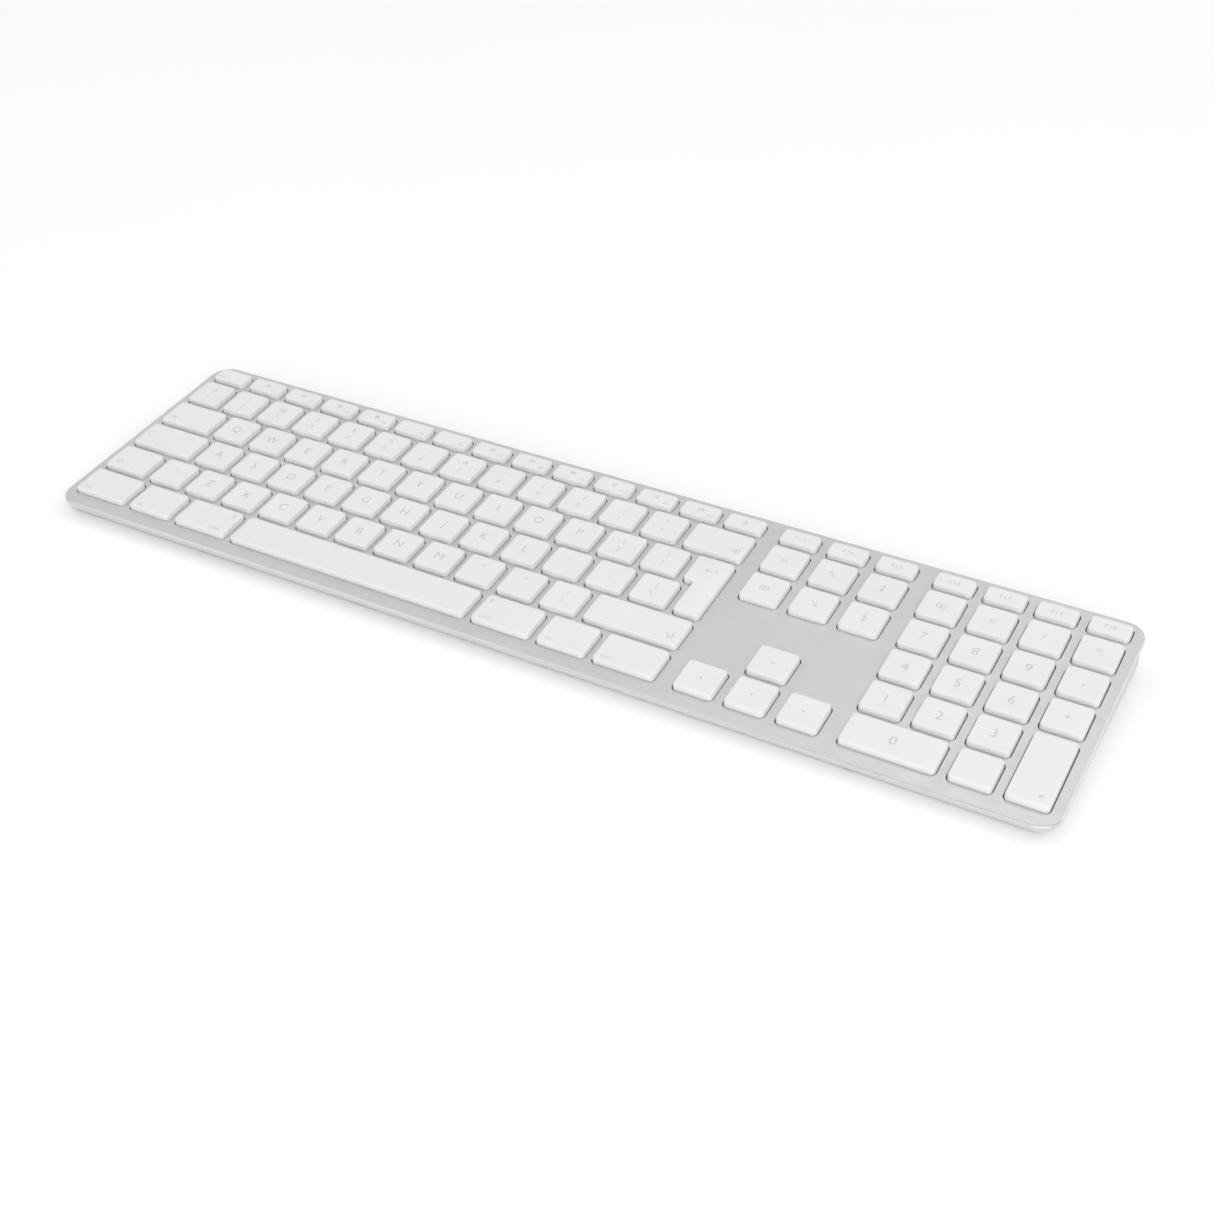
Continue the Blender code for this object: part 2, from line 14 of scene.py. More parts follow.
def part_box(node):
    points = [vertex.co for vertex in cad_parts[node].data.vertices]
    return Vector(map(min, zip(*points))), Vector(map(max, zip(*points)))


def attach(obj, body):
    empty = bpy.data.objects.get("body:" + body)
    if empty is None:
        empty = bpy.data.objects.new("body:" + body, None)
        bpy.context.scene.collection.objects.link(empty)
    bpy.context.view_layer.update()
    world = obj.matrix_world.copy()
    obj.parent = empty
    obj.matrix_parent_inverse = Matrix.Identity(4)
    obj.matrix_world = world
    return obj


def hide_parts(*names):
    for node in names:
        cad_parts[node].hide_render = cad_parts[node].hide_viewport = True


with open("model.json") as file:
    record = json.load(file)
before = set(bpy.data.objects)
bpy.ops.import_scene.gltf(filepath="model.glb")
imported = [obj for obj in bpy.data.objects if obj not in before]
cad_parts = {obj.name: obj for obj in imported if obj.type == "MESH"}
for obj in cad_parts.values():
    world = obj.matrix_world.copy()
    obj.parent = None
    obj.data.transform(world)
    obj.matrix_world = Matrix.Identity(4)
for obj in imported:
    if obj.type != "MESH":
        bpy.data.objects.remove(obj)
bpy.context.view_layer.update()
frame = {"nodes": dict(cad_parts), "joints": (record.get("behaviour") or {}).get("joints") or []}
MM = 0.001

# ---------------------------------------------------------------- dimensions, the CAD's except where said

# Letter block: key pitch, cap width, row pitch, front of the first row, gap between rows, width in key units
UNIT, CAP, ROW, ROW_START, ROW_GAP, BLOCK_UNITS = 19.05, 15.75, 18.52, -0.8, 2.9, 14.5
CAP_GAP = UNIT - CAP
# Navigation and keypad blocks: left edge and pitch.  Function row: keys, pitch, front and rear
NAV_X, NAV_PITCH = 280.6, 20.1
PAD_X, PAD_PITCH = 344.05, 19.8
FN_KEYS = 14
FN_PITCH, FN_Y0, FN_Y1 = BLOCK_UNITS * UNIT / FN_KEYS, 92.0, 100.4
# Aluminium deck: outline, rounding of its rim, sheet thickness, folded skirt
CASE_X0, CASE_X1, CASE_Y0, CASE_Y1, CASE_RADIUS = -4.4, 424.1, -8.1, 104.5, 8.6
RIM, DECK_THICKNESS, SKIRT_DEPTH, SKIRT_WALL = 0.45, 1.0, 1.5, 0.9
# Lower cover: inset from the deck, wall, height of the feet, floor; then its rounded belly and the
# deck-frame floors of its cavities
COVER_INSET, COVER_WALL, FOOT_HEIGHT, COVER_FLOOR = 0.8, 1.6, 0.6, 1.4
BELLY_INSET, BELLY_RISE, RIM_FLOOR, TRAY_FLOOR = 4.5, 3.3, -3.6, -5.05
WALL_IN, WALL_OUT = CASE_Y1 - COVER_INSET - COVER_WALL, CASE_Y1 - COVER_INSET
# Caps: top and lower edge from the deck's face; the scene's own corner radius, opening margin and dish
CAP_TOP, CAP_SKIRT, CAP_CORNER, HOLE_MARGIN = 2.2, -1.3, 1.75, 0.36
DISH = 0.10

# The deck's slope is the tilt of a key's travel; the origin comes from the outer box
travel = next(joint["axis"] for joint in frame["joints"] if joint["name"] == "key_space_press")
SLOPE = math.atan2(travel[1], -travel[2])
COS, SIN = math.cos(SLOPE), math.sin(SLOPE)
case_low, case_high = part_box("top_case")
ORIGIN = Vector((case_low[0] / MM - CASE_X0, case_low[1] / MM - CASE_Y0 * COS - RIM * SIN,
                 case_high[2] / MM - (CASE_Y1 - RIM) * SIN))
DECK = Matrix.Translation(ORIGIN * MM) @ Matrix.Rotation(SLOPE, 4, 'X')


def deck_z(y, height):
    """Deck-frame z of the point at this height above the desk."""
    return (height - ORIGIN.z - y * SIN) / COS


# ---------------------------------------------------------------- materials

NOISE_LOW, NOISE_HIGH = 0.3, 0.7    # the band of noise values that is stretched over a surface's range
GLOSS_SCALE = 14.0                  # the uneven gloss is this many times finer than the blotches of colour
BUMP_STRENGTH = 0.5


def noise(tree, coords, scale, detail=3.0, roughness=0.5):
    node = tree.nodes.new("ShaderNodeTexNoise")
    node.inputs["Scale"].default_value = scale
    node.inputs["Detail"].default_value = detail
    node.inputs["Roughness"].default_value = roughness
    tree.links.new(coords, node.inputs["Vector"])
    return node.outputs["Fac"]


def remap(tree, value, low, high):
    node = tree.nodes.new("ShaderNodeMapRange")
    node.inputs["From Min"].default_value = NOISE_LOW
    node.inputs["From Max"].default_value = NOISE_HIGH
    node.inputs["To Min"].default_value = low
    node.inputs["To Max"].default_value = high
    tree.links.new(value, node.inputs["Value"])
    return node.outputs["Result"]


def surface(name, dark, light, roughness, metallic=0.0, grain=4000.0, depth=0.00002, blotch=25.0,
            stretch=(1.0, 1.0, 1.0), coat=0.0):
    """Mottled colour, uneven gloss and fine grain, from noise in the object's own coordinates (metres)."""
    mat = bpy.data.materials.new(name)
    mat.use_nodes = True
    tree = mat.node_tree
    shader = tree.nodes["Principled BSDF"]
    coords = tree.nodes.new("ShaderNodeTexCoord")
    mapping = tree.nodes.new("ShaderNodeMapping")
    mapping.inputs["Scale"].default_value = stretch
    tree.links.new(coords.outputs["Object"], mapping.inputs["Vector"])
    vector = mapping.outputs["Vector"]

    mix = tree.nodes.new("ShaderNodeMix")
    mix.data_type = 'RGBA'
    mix.inputs["A"].default_value = (*dark, 1.0)
    mix.inputs["B"].default_value = (*light, 1.0)
    large = noise(tree, vector, blotch, 4.0)
    tree.links.new(remap(tree, large, 0.0, 1.0), mix.inputs["Factor"])
    tree.links.new(mix.outputs["Result"], shader.inputs["Base Color"])

    medium = noise(tree, vector, blotch * GLOSS_SCALE)
    tree.links.new(remap(tree, medium, roughness[0], roughness[1]), shader.inputs["Roughness"])

    bump = tree.nodes.new("ShaderNodeBump")
    bump.inputs["Strength"].default_value = BUMP_STRENGTH
    bump.inputs["Distance"].default_value = depth
    tree.links.new(noise(tree, vector, grain, 2.0, 0.6), bump.inputs["Height"])
    tree.links.new(bump.outputs["Normal"], shader.inputs["Normal"])
    shader.inputs["Metallic"].default_value = metallic
    shader.inputs["Coat Weight"].default_value = coat
    return mat


ALUMINIUM = surface("anodised_aluminium", (0.565, 0.565, 0.57), (0.59, 0.59, 0.595), (0.40, 0.48), 0.85,
                    grain=5200.0, depth=0.000012, blotch=18.0)
# The rim's aluminium is the deck's metal painted lighter, a painted highlight on the rounded edge and skirt
RIM_HIGHLIGHT = surface("rim_painted_highlight", (0.62, 0.62, 0.625), (0.65, 0.65, 0.655), (0.30, 0.38), 0.8, grain=5200.0,
               depth=0.000008, blotch=30.0)
KEYCAP = surface("keycap_plastic", (0.69, 0.69, 0.695), (0.71, 0.71, 0.712), (0.42, 0.50), grain=4200.0,
                 depth=0.000008, blotch=40.0)
LEGEND = surface("legend_ink", (0.46, 0.46, 0.47), (0.50, 0.50, 0.51), (0.5, 0.58), grain=9000.0,
                 depth=0.000004, blotch=90.0)
# The white plastic cover is painted mid grey: painted shade in the gap under the deck's skirt
SHADED_COVER = surface("cover_plastic", (0.53, 0.53, 0.53), (0.55, 0.55, 0.55), (0.35, 0.45), grain=3000.0,
                depth=0.000012, blotch=20.0)
RUBBER = surface("foot_rubber", (0.24, 0.24, 0.245), (0.28, 0.28, 0.285), (0.75, 0.88), grain=2600.0,
                 depth=0.00003, blotch=120.0)
SCREW = surface("zinc_steel", (0.42, 0.43, 0.45), (0.52, 0.52, 0.53), (0.28, 0.42), 1.0, grain=2500.0,
                depth=0.00001, blotch=300.0)
TIN = surface("tinned_steel", (0.50, 0.50, 0.52), (0.60, 0.60, 0.61), (0.25, 0.38), 1.0, grain=1800.0,
              depth=0.00001, blotch=200.0, stretch=(1.0, 6.0, 1.0))
GOLD = surface("contact_gold", (0.62, 0.45, 0.17), (0.74, 0.55, 0.24), (0.22, 0.35), 1.0, grain=3000.0,
               depth=0.000006, blotch=400.0)
BLACK = surface("black_plastic", (0.018, 0.018, 0.018), (0.03, 0.03, 0.03), (0.45, 0.6), grain=3500.0,
                depth=0.00003, blotch=150.0)
WINDOW = surface("light_window", (0.55, 0.62, 0.56), (0.60, 0.68, 0.62), (0.25, 0.32), grain=3000.0,
                 depth=0.000006, blotch=200.0, coat=0.4)
FILM = surface("polyester_film", (0.30, 0.31, 0.33), (0.36, 0.37, 0.39), (0.25, 0.4), grain=900.0,
               depth=0.00001, blotch=60.0)
DOMES = surface("dome_silicone", (0.075, 0.075, 0.08), (0.10, 0.10, 0.105), (0.55, 0.7), grain=2500.0,
                depth=0.00001, blotch=60.0)
BOARD = surface("circuit_board", (0.012, 0.07, 0.03), (0.02, 0.11, 0.05), (0.3, 0.5), grain=1500.0,
                depth=0.00003, blotch=350.0, coat=0.3)
FOIL = surface("battery_foil", (0.42, 0.42, 0.43), (0.55, 0.55, 0.56), (0.2, 0.4), 0.9, grain=500.0,
               depth=0.00006, blotch=90.0)


# ---------------------------------------------------------------- outlines and solids

def rounded(x0, y0, x1, y1, radius, segments=6):
    """Rectangle with rounded corners, counter-clockwise."""
    points = []
    for cx, cy, start in ((x1 - radius, y0 + radius, -90), (x1 - radius, y1 - radius, 0),
                          (x0 + radius, y1 - radius, 90), (x0 + radius, y0 + radius, 180)):
        for k in range(segments + 1):
            angle = math.radians(start + 90.0 * k / segments)
            points.append((cx + radius * math.cos(angle), cy + radius * math.sin(angle)))
    return points


def centred(half_x, half_y, radius, segments):
    return rounded(-half_x, -half_y, half_x, half_y, radius, segments)


def circle(radius, segments, cx=0.0, cy=0.0):
    step = 2.0 * math.pi / segments
    return [(cx + radius * math.cos(k * step), cy + radius * math.sin(k * step)) for k in range(segments)]


def inset(outline, distance):
    """Each side of a counter-clockwise outline moves inwards; a negative distance grows it."""
    sides = []
    for (ax, ay), (bx, by) in zip(outline, outline[1:] + outline[:1]):
        length = math.hypot(bx - ax, by - ay)
        ux, uy = (bx - ax) / length, (by - ay) / length
        sides.append((ax - uy * distance, ay + ux * distance, ux, uy))
    result = []
    for (px, py, ux, uy), (qx, qy, vx, vy) in zip(sides[-1:] + sides[:-1], sides):
        t = ((qx - px) * vy - (qy - py) * vx) / (ux * vy - uy * vx)
        result.append((px + ux * t, py + uy * t))
    return result


def fillet(corners, radii, segments=6):
    """Rounded outline from corner points, with its own radius at each corner."""
    points = []
    count = len(corners)
    for k in range(count):
        a, b, c = Vector(corners[k - 1]), Vector(corners[k]), Vector(corners[(k + 1) % count])
        u, v = (a - b).normalized(), (c - b).normalized()
        half = 0.5 * u.angle(v)
        reach = radii[k] / math.tan(half)
        centre = b + (u + v).normalized() * (radii[k] / math.sin(half))
        start, end = b + u * reach - centre, b + v * reach - centre
        for s in range(segments + 1):
            blend = start.lerp if s in (0, segments) else start.slerp
            direction = blend(end, s / segments)
            points.append(tuple(centre + direction.normalized() * radii[k]))
    return points


def rings_from(outline, steps):
    """Rings for a loft: the outline at each (inset, level)."""
    return [(inset(outline, distance) if distance else outline, level) for distance, level in steps]


def loft(bm, rings, close=True):
    """Skin through rings of equal point counts; a ring is (outline, z) or (outline, function of x and y)."""
    loops = []
    for outline, level in rings:
        heights = [level(x, y) if callable(level) else level for x, y in outline]
        loops.append([bm.verts.new((x * MM, y * MM, z * MM)) for (x, y), z in zip(outline, heights)])
    faces = []
    count = len(loops[0])
    for lower, upper in zip(loops, loops[1:]):
        for k in range(count):
            n = (k + 1) % count
            faces.append(bm.faces.new((lower[k], lower[n], upper[n], upper[k])))
    if close:
        faces.append(bm.faces.new(loops[0]))
        faces.append(bm.faces.new(loops[-1]))
    bmesh.ops.recalc_face_normals(bm, faces=faces)
    return loops


def new_object(name, bm, matrix):
    mesh = bpy.data.meshes.new(name)
    bm.transform(matrix)
    bm.to_mesh(mesh)
    bm.free()
    obj = bpy.data.objects.new(name, mesh)
    bpy.context.scene.collection.objects.link(obj)
    return obj


def carve(obj, solids, operation='DIFFERENCE', matrix=None):
    """Boolean with a set of lofted solids; the result is applied to the mesh."""
    bm = bmesh.new()
    for rings in solids:
        loft(bm, rings)
    tool = new_object(obj.name + "_tool", bm, DECK if matrix is None else matrix)
    modifier = obj.modifiers.new("cut", 'BOOLEAN')
    modifier.operation = operation
    modifier.object = tool
    graph = bpy.context.evaluated_depsgraph_get()
    result = bpy.data.meshes.new_from_object(obj.evaluated_get(graph))
    obj.modifiers.clear()
    obj.data = result
    bpy.data.objects.remove(tool, do_unlink=True)


def finish_piece(obj, material, body, nodes=(), sharp=32.0):
    obj.data.materials.clear()
    obj.data.materials.append(material)
    obj.data.shade_smooth()
    obj.data.set_sharp_from_angle(angle=math.radians(sharp))
    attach(obj, body)
    if nodes:
        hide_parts(*nodes)
    return obj


def solid(name, solids, material, body, nodes=(), matrix=None, sharp=32.0):
    bm = bmesh.new()
    for rings in solids:
        loft(bm, rings)
    obj = new_object(name, bm, DECK if matrix is None else matrix)
    return finish_piece(obj, material, body, nodes, sharp)


# ---------------------------------------------------------------- key layout

# Cap walls as (inset, height), from the hollow of the underside up to the rounded edge of the top
CAP_WALLS = ((1.0, 0.75), (1.0, CAP_SKIRT + 0.15), (0.9, CAP_SKIRT), (0.0, CAP_SKIRT), (0.05, 0.0),
             (0.20, CAP_TOP - 0.42), (0.26, CAP_TOP - 0.24))
CAP_EDGE = ((0.36, CAP_TOP - 0.10), (0.46, CAP_TOP - 0.03))
TOP_INSET, DISH_MARGIN, DISH_RINGS = 0.58, 0.55, (1.0, 0.93, 0.8, 0.6, 0.35, 0.12)
CORNER_SHARE = 0.22                 # a shallow cap's corner radius as a share of its depth
RETURN_DROP, RETURN_INNER_CORNER = 0.02, 1.4
RETURN_EDGE = ((0.36, CAP_TOP - 0.11), (0.46, CAP_TOP - 0.045), (TOP_INSET, CAP_TOP - RETURN_DROP))


class Key:
    """A cap's place on the deck, and the rings of its shape."""

    def __init__(self, name, body, x0, y0, x1, y1):
        self.name, self.body = name, body
        self.x0, self.y0, self.x1, self.y1 = x0, y0, x1, y1
        self.cx, self.cy = 0.5 * (x0 + x1), 0.5 * (y0 + y1)
        self.hx, self.hy = 0.5 * (x1 - x0), 0.5 * (y1 - y0)

    def outline(self, grow=0.0):
        radius = min(CAP_CORNER, CORNER_SHARE * (self.y1 - self.y0)) + grow
        return rounded(self.x0 - grow, self.y0 - grow, self.x1 + grow, self.y1 + grow, radius)

    def top(self, x, y):
        """Height of the gently dished top."""
        u = min(1.0, abs(x - self.cx) / (self.hx - DISH_MARGIN))
        v = min(1.0, abs(y - self.cy) / (self.hy - DISH_MARGIN))
        return CAP_TOP - DISH * (1.0 - u * u) * (1.0 - v * v)

    def rings(self):
        outline = self.outline()
        rings = rings_from(outline, CAP_WALLS + CAP_EDGE)
        edge = inset(outline, TOP_INSET)
        for scale in DISH_RINGS:
            shrunk = [(self.cx + (x - self.cx) * scale, self.cy + (y - self.cy) * scale) for x, y in edge]
            rings.append((shrunk, self.top))
        return rings


class ReturnKey(Key):
    """Cap over two rows, wider in the upper one."""

    def __init__(self, name, body, x0, step_x, y0, step_y, x1, y1):
        super().__init__(name, body, x0, y0, x1, y1)
        self.step_x, self.step_y = step_x, step_y

    def outline(self, grow=0.0):
        g = grow
        corners = [(self.step_x - g, self.y0 - g), (self.x1 + g, self.y0 - g), (self.x1 + g, self.y1 + g),
                   (self.x0 - g, self.y1 + g), (self.x0 - g, self.step_y - g),
                   (self.step_x - g, self.step_y - g)]
        outer, inner = CAP_CORNER + g, RETURN_INNER_CORNER - g
        return fillet(corners, [outer, outer, outer, outer, outer, inner])

    def top(self, x, y):
        return CAP_TOP - RETURN_DROP

    def rings(self):
        return rings_from(self.outline(), CAP_WALLS + RETURN_EDGE)


def row_front(row):
    return FN_Y0 if row == 5 else ROW_START + row * ROW


def row_rear(row):
    return FN_Y1 if row == 5 else ROW_START + (row + 1) * ROW - ROW_GAP


def block_row(group, row, start, widths):
    """Neighbouring keys of one letter-block row; widths holds (name, width in key units)."""
    keys = []
    for name, width in widths:
        x0 = start * UNIT
        x1 = x0 + width * UNIT - CAP_GAP
        keys.append(Key(name, group + "_body", x0, row_front(row), x1, row_rear(row)))
        start += width
    return keys


def nav(name, column, row, group=None):
    x0 = NAV_X + column * NAV_PITCH
    return Key(name, (group or "key_" + name) + "_body", x0, row_front(row), x0 + CAP, row_rear(row))


def pad(name, column, row, columns=1, rows=1, group=None):
    x0 = PAD_X + column * PAD_PITCH
    x1 = x0 + (columns - 1) * PAD_PITCH + CAP
    return Key(name, (group or "key_" + name) + "_body", x0, row_front(row), x1, row_rear(row + rows - 1))


def cells(names, width=1.0):
    return [(name, width) for name in names.split()]


KEYS = []
KEYS += block_row("keys_number_row", 4, 0.0,
                  cells("section 1 2 3 4 5 6 7 8 9 0 minus equals") + [("delete", 1.5)])
KEYS += block_row("keys_top_letter_row", 3, 0.0,
                  [("tab", 1.5)] + cells("q w e r t y u i o p bracket_left bracket_right"))
KEYS += block_row("keys_home_row", 2, 0.0,
                  [("caps_lock", 1.75)] + cells("a s d f g h j k l semicolon quote backslash"))
KEYS += block_row("keys_bottom_letter_row", 1, 0.0,
                  [("shift_left", 1.25)] + cells("grave z x c v b n m comma period slash")
                  + [("shift_right", 2.25)])
KEYS += block_row("keys_modifiers_left", 0, 0.0,
                  [("control_left", 1.5), ("option_left", 1.25), ("command_left", 1.5)])
KEYS += block_row("keys_modifiers_right", 0, 10.25,
                  [("command_right", 1.5), ("option_right", 1.25), ("control_right", 1.5)])
KEYS += block_row("key_space", 0, 4.25, [("space", 6.0)])
KEYS.append(ReturnKey("return", "key_return_body", 13.5 * UNIT, 13.75 * UNIT, row_front(2), row_front(3),
                      BLOCK_UNITS * UNIT - CAP_GAP, row_rear(3)))
FN_ENDS = {0: "esc", FN_KEYS - 1: "eject"}
KEYS += [Key(FN_ENDS.get(k, "f" + str(k)), "keys_function_main_body", k * FN_PITCH, FN_Y0,
             (k + 1) * FN_PITCH - CAP_GAP, FN_Y1) for k in range(FN_KEYS)]
KEYS += [nav("f" + str(13 + k), k, 5, "keys_function_nav") for k in range(3)]
KEYS += [pad("f" + str(16 + k), k, 5, group="keys_function_pad") for k in range(4)]
KEYS += [nav(name, column, row) for name, column, row in (
    ("fn", 0, 4), ("home", 1, 4), ("page_up", 2, 4),
    ("forward_delete", 0, 3), ("end", 1, 3), ("page_down", 2, 3),
    ("arrow_up", 1, 1), ("arrow_left", 0, 0), ("arrow_down", 1, 0), ("arrow_right", 2, 0))]
KEYS += [pad("pad_" + name, column, row) for name, column, row in (
    ("clear", 0, 4), ("equals", 1, 4), ("divide", 2, 4), ("multiply", 3, 4),
    ("7", 0, 3), ("8", 1, 3), ("9", 2, 3), ("minus", 3, 3),
    ("4", 0, 2), ("5", 1, 2), ("6", 2, 2), ("plus", 3, 2),
    ("1", 0, 1), ("2", 1, 1), ("3", 2, 1), ("decimal", 2, 0))]
KEYS += [pad("pad_enter", 3, 0, rows=2), pad("pad_0", 0, 0, columns=2)]

# ---------------------------------------------------------------- keycaps

for key in KEYS:
    node = key.body.removesuffix("_body")
    solid("cap_" + key.name, [key.rings()], KEYCAP, key.body, [node], sharp=40.0)

# ---------------------------------------------------------------- legends

# Printed text of each key: (text, x, y, height), placed from the cap's centre
TEXT = {
    "section": (("§", 0, 2.9, 3.0), ("±", 0, -2.9, 3.0)),
    "minus": (("_", 0, 3.4, 3.0), ("-", 0, -2.6, 3.0)),
    "equals": (("+", 0, 2.9, 3.0), ("=", 0, -2.9, 3.0)), "slash": (("?", 0, 2.9, 3.2), ("/", 0, -2.9, 3.0)),
    "bracket_left": (("{", 0, 3.0, 3.0), ("[", 0, -3.0, 3.0)),
    "bracket_right": (("}", 0, 3.0, 3.0), ("]", 0, -3.0, 3.0)),
    "semicolon": ((":", 0, 2.9, 3.2), (";", 0, -2.9, 3.2)),
    "quote": (('"', 0, 2.9, 3.2), ("'", 0, -2.9, 3.2)),
    "backslash": (("|", 0, 2.9, 3.0), ("\\", 0, -2.9, 3.0)),
    "grave": (("~", 0, 2.9, 3.2), ("`", 0, -3.4, 3.4)),
    "comma": (("<", 0, 2.9, 3.0), (",", 0, -2.4, 3.4)), "period": ((">", 0, 2.9, 3.0), (".", 0, -2.4, 3.4)),
    "esc": (("esc", -4.6, -1.6, 2.0),), "fn": (("fn", 0, 0, 2.6),),
    "control_left": (("ctrl", -8.0, -4.8, 2.1),), "option_left": (("alt", -5.6, -4.8, 2.1),),
    "command_left": (("cmd", 6.6, -4.8, 2.1),), "command_right": (("cmd", -7.6, -4.8, 2.1),),
    "option_right": (("alt", -5.8, -4.8, 2.1),), "control_right": (("ctrl", -7.9, -4.8, 2.1),),
    "pad_equals": (("=", 0, 0, 3.6),), "pad_divide": (("/", 0, 0, 3.6),), "pad_multiply": (("*", 0, 0, 4.4),),
    "pad_minus": (("-", 0, 0, 4.0),), "pad_plus": (("+", 0, 0, 3.8),), "pad_decimal": ((".", 0, -3.0, 4.4),),
}
for digit, symbol in zip("1234567890", "!@£$%^&*()"):
    TEXT[digit] = ((symbol, 0, 3.0, 3.0), (digit, 0, -3.0, 3.0))
    TEXT["pad_" + digit] = ((digit, 0, 0, 4.2),)
for letter in "qwertyuiopasdfghjklzxcvbnm":
    TEXT[letter] = ((letter.upper(), 0, 0.3, 4.0),)
for number in range(1, 20):
    # The main function keys leave room for a symbol, so their text is small and in the corner
    spot = (5.4, -2.3, 1.7) if number < FN_KEYS - 1 else (0.0, 0.0, 2.2)
    TEXT["f" + str(number)] = (("F" + str(number), *spot),)


def polar(radius, angle):
    return radius * math.cos(angle), radius * math.sin(angle)


# Symbols as polylines, in units of the size they are drawn at
SHIFT = [(0, 1), (-0.95, 0.05), (-0.42, 0.05), (-0.42, -0.9),
         (0.42, -0.9), (0.42, 0.05), (0.95, 0.05), (0, 1)]
CROSS = ([(-0.15, 0.32), (0.45, -0.32)], [(0.45, 0.32), (-0.15, -0.32)])
TAG = [(-1, 0), (-0.45, 0.6), (1, 0.6), (1, -0.6), (-0.45, -0.6), (-1, 0)]
HORN = [(-0.9, -0.3), (-0.9, 0.3), (-0.4, 0.3), (0.2, 0.8), (0.2, -0.8), (-0.4, -0.3), (-0.9, -0.3)]
SUN_DISC = [polar(0.4, k * math.pi / 6) for k in range(13)]
SUN_RAYS = [[polar(0.65, k * math.pi / 4), polar(0.95, k * math.pi / 4)] for k in range(8)]
SHAPES = {
    "tab": ([(-1, 0), (0.7, 0)], [(0.2, 0.45), (0.7, 0), (0.2, -0.45)], [(0.95, 0.5), (0.95, -0.5)]),
    "caps": (SHIFT, [(-0.42, -1.3), (0.42, -1.3)]), "shift": (SHIFT,),
    "return": ([(1, 0.75), (1, -0.1), (-0.95, -0.1)], [(-0.45, 0.4), (-0.95, -0.1), (-0.45, -0.6)]),
    "delete": (TAG, *CROSS),
    "forward": ([(-x, y) for x, y in TAG], *[[(-x, y) for x, y in line] for line in CROSS]),
    "home": ([(0.7, -0.7), (-0.7, 0.7)], [(-0.7, 0.0), (-0.7, 0.7), (0.0, 0.7)]),
    "end": ([(-0.7, 0.7), (0.7, -0.7)], [(0.7, 0.0), (0.7, -0.7), (0.0, -0.7)]),
    "page_up": ([(0, -1), (0, 1)], [(-0.5, 0.5), (0, 1), (0.5, 0.5)], [(-0.4, -0.1), (0.4, -0.1)],
                [(-0.4, -0.5), (0.4, -0.5)]),
    "page_down": ([(0, 1), (0, -1)], [(-0.5, -0.5), (0, -1), (0.5, -0.5)], [(-0.4, 0.1), (0.4, 0.1)],
                  [(-0.4, 0.5), (0.4, 0.5)]),
    "clear": ([(-0.9, -0.55), (-0.9, 0.55), (0.9, 0.55), (0.9, -0.55), (-0.9, -0.55)],
              [(-0.3, 0.3), (0.3, -0.3)], [(0.3, 0.3), (-0.3, -0.3)]),
    "enter": ([(-0.7, -0.45), (0, 0.35), (0.7, -0.45)], [(-0.7, 0.6), (0.7, 0.6)]),
    "mark": ([(-0.6, -0.6), (0.6, 0.6)], [(-0.6, 0.6), (0.6, -0.6)], [(-0.25, 0.9), (0.25, 0.9)],
             [(-0.25, -0.9), (0.25, -0.9)]),
    "sun": (SUN_DISC, *SUN_RAYS),
    "windows": ([(-0.9, -0.5), (-0.9, 0.5), (0.3, 0.5), (0.3, -0.5), (-0.9, -0.5)],
                [(-0.4, -0.8), (0.8, -0.8), (0.8, 0.2)]),
    "grid": ([(-0.9, 0.5), (0.9, 0.5)], [(-0.9, 0), (0.9, 0)], [(-0.9, -0.5), (0.9, -0.5)],
             [(-0.3, 0.8), (-0.3, -0.8)], [(0.3, 0.8), (0.3, -0.8)]),
    "speaker": (HORN,),
    "louder": (HORN, [(0.5, 0.35), (0.62, 0.0), (0.5, -0.35)], [(0.8, 0.6), (1.0, 0.0), (0.8, -0.6)]),
    "back": ([(0, 0.6), (-0.9, 0), (0, -0.6), (0, 0.6)], [(0.9, 0.6), (0, 0), (0.9, -0.6), (0.9, 0.6)]),
    "play": ([(-0.9, 0.6), (0, 0), (-0.9, -0.6), (-0.9, 0.6)], [(0.35, 0.6), (0.35, -0.6)],
             [(0.75, 0.6), (0.75, -0.6)]),
    "next": ([(0, 0.6), (0.9, 0), (0, -0.6), (0, 0.6)], [(-0.9, 0.6), (0, 0), (-0.9, -0.6), (-0.9, 0.6)]),
    "eject": ([(-0.8, -0.1), (0, 0.8), (0.8, -0.1), (-0.8, -0.1)], [(-0.8, -0.6), (0.8, -0.6)]),
    "arrow_up": ([(-0.7, -0.5), (0, 0.7), (0.7, -0.5)],),
    "arrow_down": ([(-0.7, 0.5), (0, -0.7), (0.7, 0.5)],),
    "arrow_left": ([(0.5, -0.7), (-0.7, 0), (0.5, 0.7)],),
    "arrow_right": ([(-0.5, -0.7), (0.7, 0), (-0.5, 0.7)],),
}
FILLED = ("arrow_up", "arrow_down", "arrow_left", "arrow_right")
